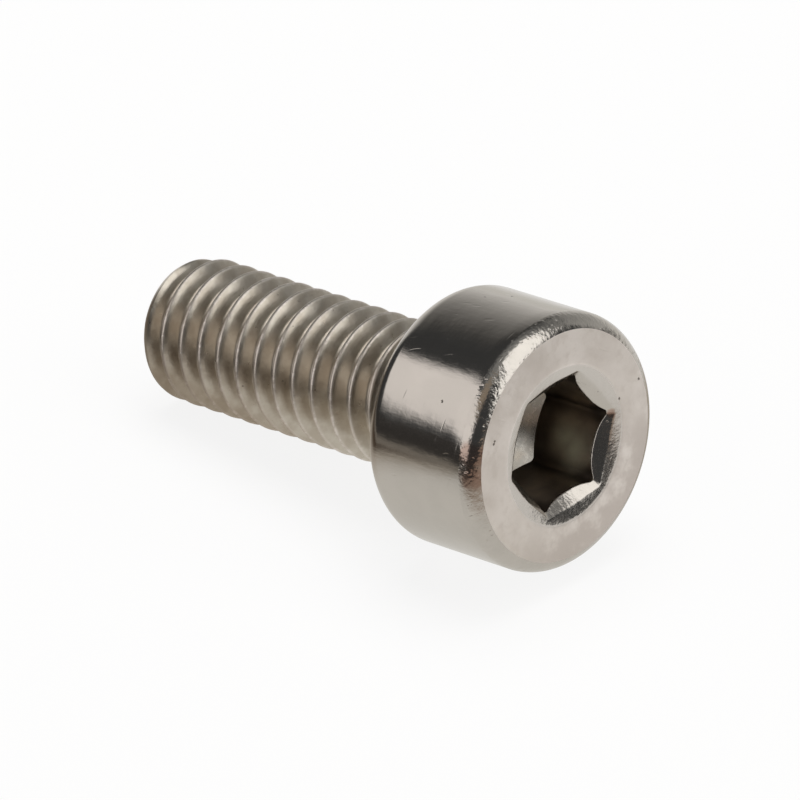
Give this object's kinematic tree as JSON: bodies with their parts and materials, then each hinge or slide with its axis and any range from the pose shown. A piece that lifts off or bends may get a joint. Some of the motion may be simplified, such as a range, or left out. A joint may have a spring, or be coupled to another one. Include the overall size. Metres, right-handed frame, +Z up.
{
  "type": "socket head cap screw",
  "caption": "Cap screw with a plain cylindrical head, a countersunk hexagon socket in its top face and a metric thread up to the head.",
  "frame": {"origin": "on the floor under the middle of the lying screw", "axes": "+X towards the head, level with the floor, +Z up; the screw lies on the rim of its head and on its last thread, so its axis rises 8.53 degrees towards the head"},
  "size_m": [0.0144, 0.0068, 0.0073],
  "materials": {
    "steel": "satin stainless steel, with a rougher rounded edge and handling marks"
  },
  "bodies": {
    "root": {"screw": "steel"}
  },
  "joints": []
}
